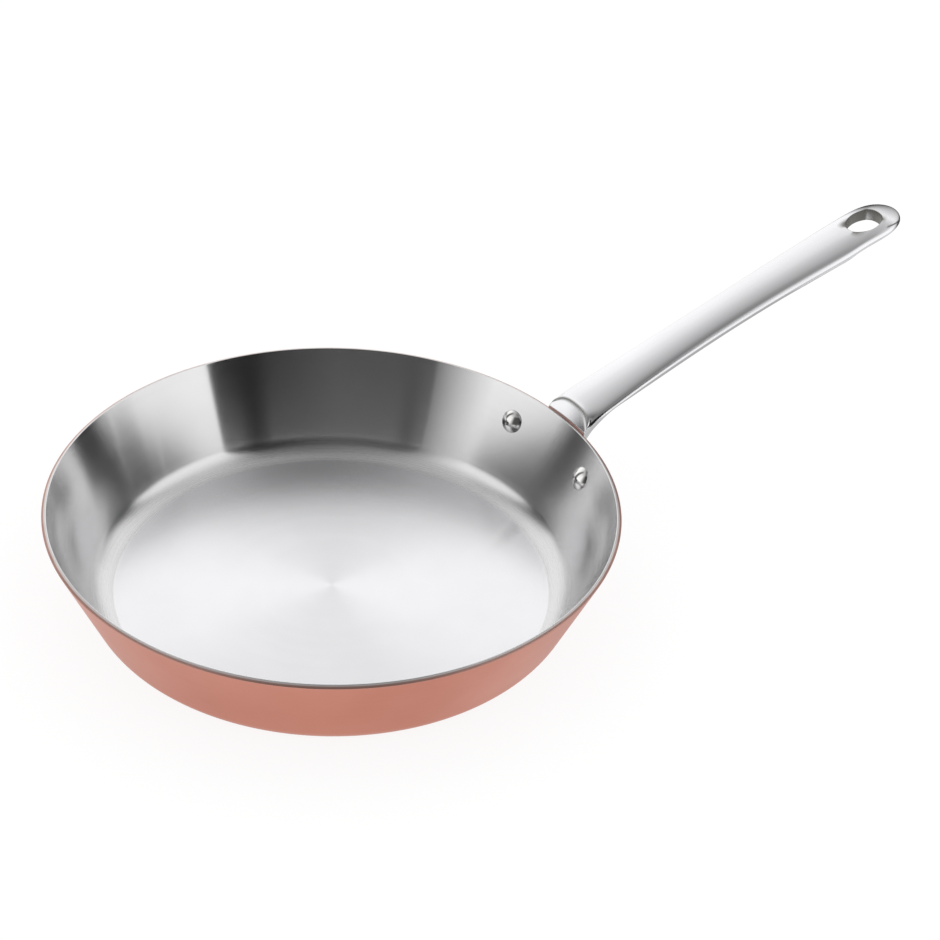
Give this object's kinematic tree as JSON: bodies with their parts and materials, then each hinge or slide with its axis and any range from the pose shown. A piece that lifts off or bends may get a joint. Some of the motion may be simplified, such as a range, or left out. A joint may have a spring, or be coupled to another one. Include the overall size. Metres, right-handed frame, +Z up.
{
  "type": "frying pan",
  "caption": "Shallow round frying pan with a sloped copper outside, a brushed steel inside and a long riveted steel handle with a hanging hole.",
  "frame": {"origin": "middle of the flat underside, where the pan stands on the hob", "axes": "+Z up along the bowl's axis, +X along the handle from the bowl to its tip"},
  "size_m": [0.4547, 0.26, 0.1055],
  "materials": {
    "copper": "satin copper",
    "core": "cut edge, plain",
    "liner": "brushed in circles",
    "handle": "polished",
    "rivet": "polished"
  },
  "bodies": {
    "root": {"copper_shell": "copper", "aluminium_core": "core", "steel_liner": "liner", "handle": "handle", "rivet_left": "rivet", "rivet_right": "rivet"}
  },
  "joints": []
}
